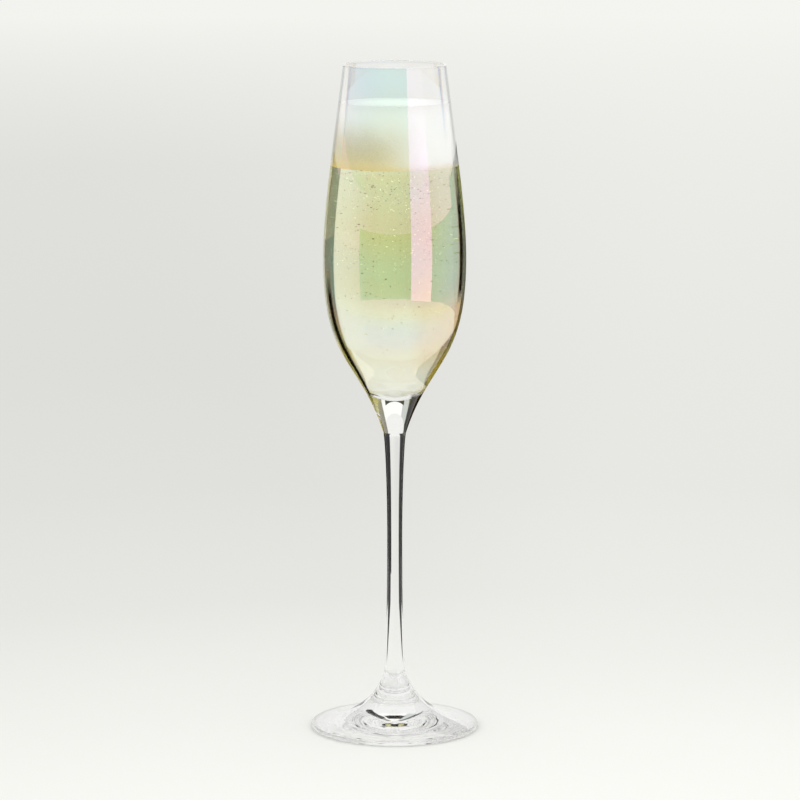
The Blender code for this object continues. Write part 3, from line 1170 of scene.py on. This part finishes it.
def around(name, near_degrees, far_degrees, distance, low, high, material):
    """A curved sheet round the glass, between two bearings in degrees: 0 in front, 90 right."""
    bearings = np.radians(np.linspace(near_degrees, far_degrees, 9))
    places = np.column_stack((distance * np.sin(bearings), -distance * np.cos(bearings)))
    points = [(x, y, height) for height in (low, high) for x, y in places]
    count = len(places)
    faces = [(i, i + 1, count + i + 1, count + i) for i in range(count - 1)]
    mesh = bpy.data.meshes.new(name)
    mesh.from_pydata(points, [], faces)
    mesh.materials.append(material)
    sheet = bpy.data.objects.new(name, mesh)
    bpy.context.scene.collection.objects.link(sheet)
    return unseen(sheet, transmission=False)


black = card_material("black_card", 0, 0, 0)
brown = card_material("brown_card", 0.22, 0.18, 0.13)
olive = card_material("olive_card", 0.24, 0.23, 0.18)
dim = card_material("dim_card", 0.60, 0.63, 0.61)
bright = card_material("bright_card", 1.05, 1.05, 1.02)
tan = card_material("tan_card", 0.66, 0.56, 0.31)
upper_fade = fading_card("upper_card", "X", 0.90, 0.48, -0.58, -0.30)
top_fade = fading_card("top_card", "Z", 0.48, 0.05, 0.28, 0.36)
softbox_cloth = fading_card("softbox_cloth", "Z", 2.0, 1.1, 0.255, 0.33, SOFTBOX_TINT)

# Left and right ends, then bottom and top.
behind("left_low", -0.25, -0.050, 0.040, 0.115, black)
behind("left_middle", -0.26, -0.076, 0.115, 0.186, black)
behind("left_top", -0.26, -0.085, 0.186, 0.228, brown)
behind("right_low", 0.031, 0.100, 0.040, 0.115, black)
behind("right_middle", 0.040, 0.118, 0.115, 0.228, olive, glossy=False)
behind("right_mirror", 0.040, 0.122, 0.115, 0.228, black, y=CARD_Y + 0.001, transmission=False)
behind("right_far", 0.118, 0.30, 0.115, 0.228, black)
behind("high_left", -1.30, -0.30, 0.30, 1.30, black, y=HIGH_CARD_Y)
behind("high_middle_left", -0.30, -0.13, 0.30, 1.30, dim, y=HIGH_CARD_Y)
behind("high_middle", -0.13, 0.266, 0.30, 1.30, bright, y=HIGH_CARD_Y)
behind("high_right", 0.266, 0.42, 0.30, 1.30, tan, y=HIGH_CARD_Y)
behind("high_right_far", 0.42, 1.30, 0.30, 1.30, black, y=HIGH_CARD_Y)
behind("high_spot", -0.15, 0.15, 0.385, 0.66, black, y=HIGH_CARD_Y - 0.01)

# Left and right bearings, the distance, then bottom and top.
around("card_front", -57, 130, FRONT_DISTANCE, 0.0, 0.212, black)
around("card_upper", -80, 26, FRONT_DISTANCE, 0.213, 0.27, upper_fade)
around("card_top", -110, 26, FRONT_DISTANCE, 0.2705, 0.9, top_fade)
around("softbox", 26, 61, SOFTBOX_DISTANCE, 0.02, 1.0, softbox_cloth)

# An even sky, a little stronger on the table than in the glass.
SKY_TINT = (1.0, 1.0, 0.985)
SKY_IN_GLASS = 0.90
SKY_ON_TABLE = 1.03
BOUNCES = 64
CARD_BOUNCES = 24

world = bpy.data.worlds.new("studio")
world.use_nodes = True
bpy.context.scene.world = world
air = world.node_tree
rays = air.nodes.new("ShaderNodeLightPath")
level = air.nodes.new("ShaderNodeMapRange")
level.inputs["To Min"].default_value = SKY_IN_GLASS
level.inputs["To Max"].default_value = SKY_ON_TABLE
air.links.new(rays.outputs["Diffuse Depth"], level.inputs["Value"])
air.links.new(level.outputs["Result"], air.nodes["Background"].inputs["Strength"])
air.nodes["Background"].inputs["Color"].default_value = (*SKY_TINT, 1)

bpy.context.scene.view_settings.view_transform = "Standard"
bpy.context.scene.cycles.max_bounces = BOUNCES
bpy.context.scene.cycles.transmission_bounces = BOUNCES
bpy.context.scene.cycles.glossy_bounces = BOUNCES
bpy.context.scene.cycles.transparent_max_bounces = CARD_BOUNCES
